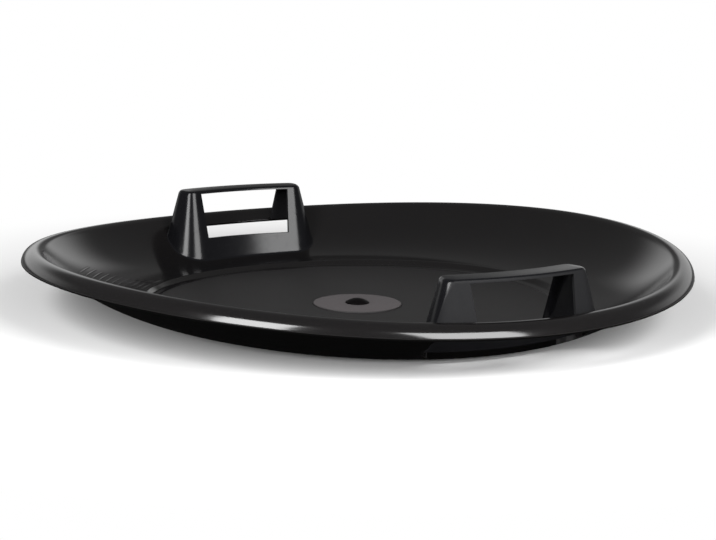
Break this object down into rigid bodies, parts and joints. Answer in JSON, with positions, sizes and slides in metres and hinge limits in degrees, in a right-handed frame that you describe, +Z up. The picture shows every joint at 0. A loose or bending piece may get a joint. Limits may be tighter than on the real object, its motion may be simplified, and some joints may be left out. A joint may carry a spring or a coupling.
{
  "type": "saucer sled",
  "caption": "Round moulded snow saucer with a hollow wall, rolled rim, upright hand grips over slots, heel ribs and a centre pad with a domed plug.",
  "frame": {"origin": "on the ground under the middle of the dish", "axes": "+Z up, the handles stand at +X and -X, the ribbed heel side is -Y"},
  "size_m": [0.625, 0.625, 0.0799],
  "materials": {
    "dish_plastic": "satin black, matt grained floor",
    "grip_plastic": "polished black",
    "pad_plastic": "fine matt grain, dark grey",
    "plug_plastic": "satin black"
  },
  "bodies": {
    "root": {"dish": "dish_plastic", "right_handle": "grip_plastic", "left_handle": "grip_plastic", "centre_pad": "pad_plastic", "centre_plug": "plug_plastic"}
  },
  "joints": []
}
